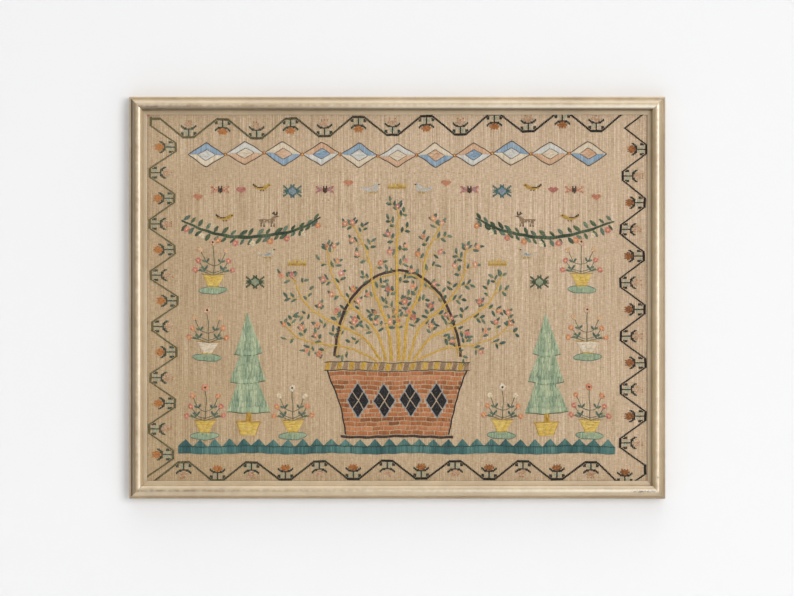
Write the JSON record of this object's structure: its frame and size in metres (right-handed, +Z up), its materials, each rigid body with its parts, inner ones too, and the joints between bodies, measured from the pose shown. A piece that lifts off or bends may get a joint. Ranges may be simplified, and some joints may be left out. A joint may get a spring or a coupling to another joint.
{
  "type": "framed cross stitch sampler",
  "caption": "Flat worked cloth sampler with a zigzag flower border, held on a board in a mitred gilt wooden moulding that hangs on a wall.",
  "frame": {"origin": "middle of the top rail's flat back, where it hangs against the wall", "axes": "+X to the viewer's right along the top rail, +Y into the wall, +Z up; the worked face looks towards -Y"},
  "size_m": [0.46, 0.0174, 0.345],
  "materials": {
    "gilt_moulding": "satin champagne gilding, rubbed and slightly tarnished",
    "wool_ground": "fine plain weave, fawn, faintly streaked and stained",
    "grey_board": "matt pulp board",
    "embroidery_thread": "soft silk sheen in many colours"
  },
  "bodies": {
    "root": {"rail_top": "gilt_moulding", "rail_right": "gilt_moulding", "rail_bottom": "gilt_moulding", "rail_left": "gilt_moulding", "sampler_cloth": "wool_ground", "backing_board": "grey_board"}
  },
  "joints": []
}
